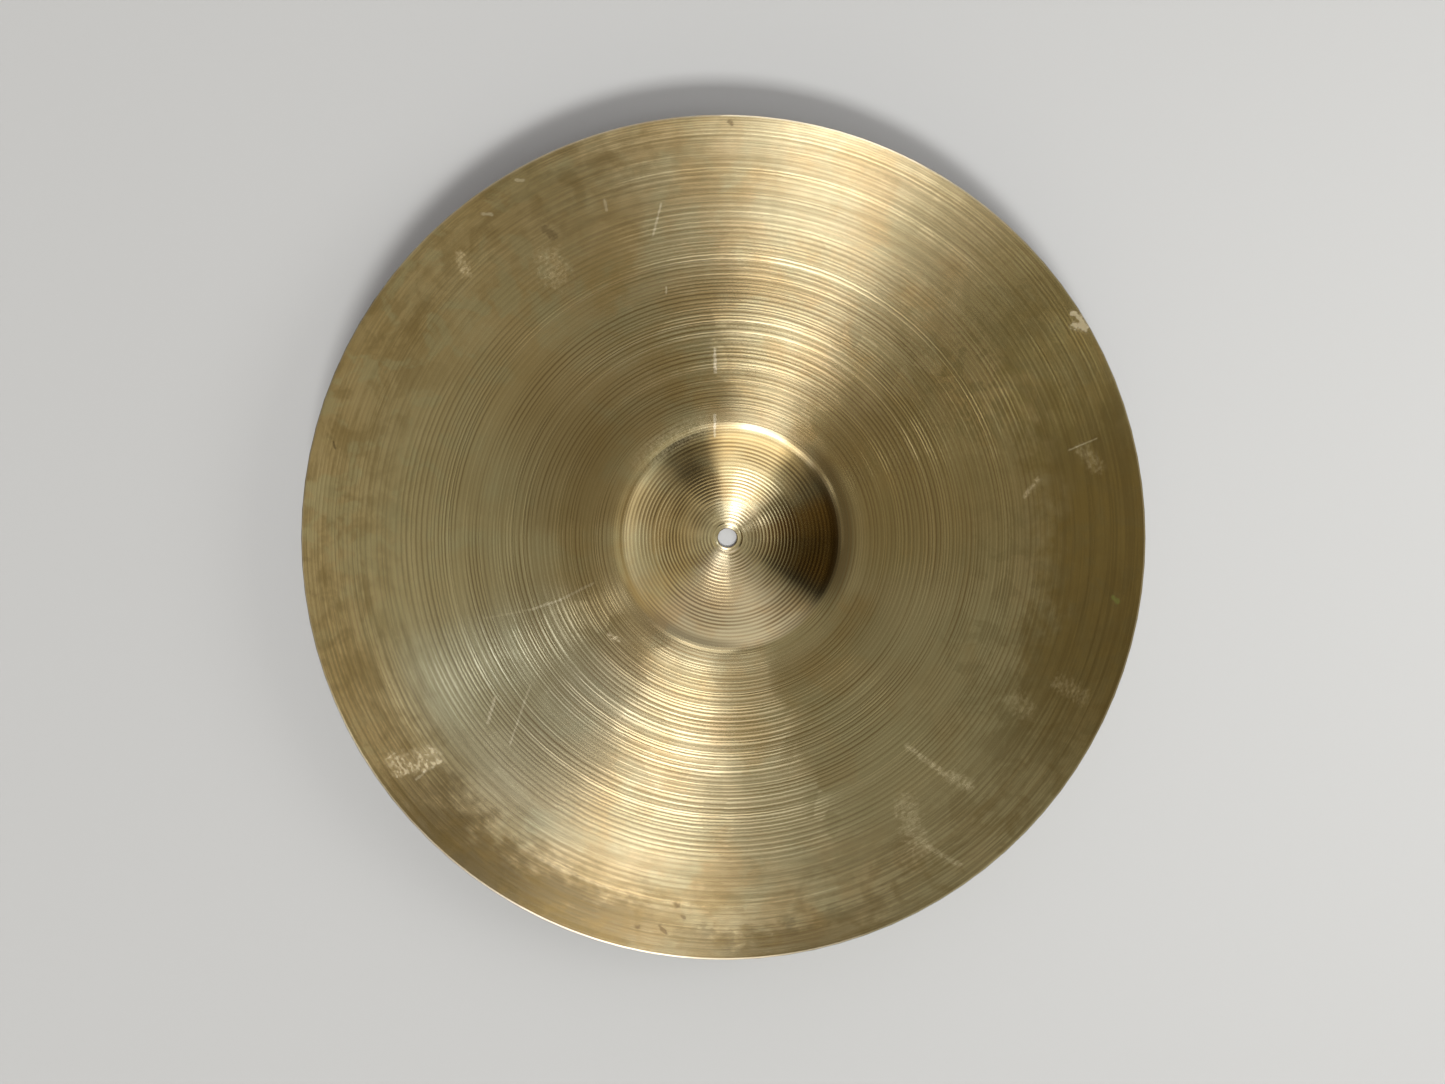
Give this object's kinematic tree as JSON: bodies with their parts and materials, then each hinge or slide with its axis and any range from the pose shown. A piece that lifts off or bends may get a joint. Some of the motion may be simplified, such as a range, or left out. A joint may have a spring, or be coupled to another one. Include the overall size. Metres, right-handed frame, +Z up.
{
  "type": "suspended cymbal",
  "caption": "Round bronze plate cymbal with a domed bell, a shallow bow that steepens and thins towards the rim, turned grooves on both faces and a stand hole, lying on its bell with the hollow side up.",
  "frame": {"origin": "centre of the stand hole at the crown of the bell, on the surface that the cymbal lies on", "axes": "+Z up along the cymbal's own axis, from the crown of the bell towards the rim and the hollow side; X and Y lie level and any turn about Z is alike"},
  "size_m": [0.508, 0.508, 0.045],
  "materials": {
    "bell_bronze": "lathe-turned bell bronze with concentric grooves, dulled by olive-brown tarnish"
  },
  "bodies": {
    "root": {"cymbal": "bell_bronze"}
  },
  "joints": []
}
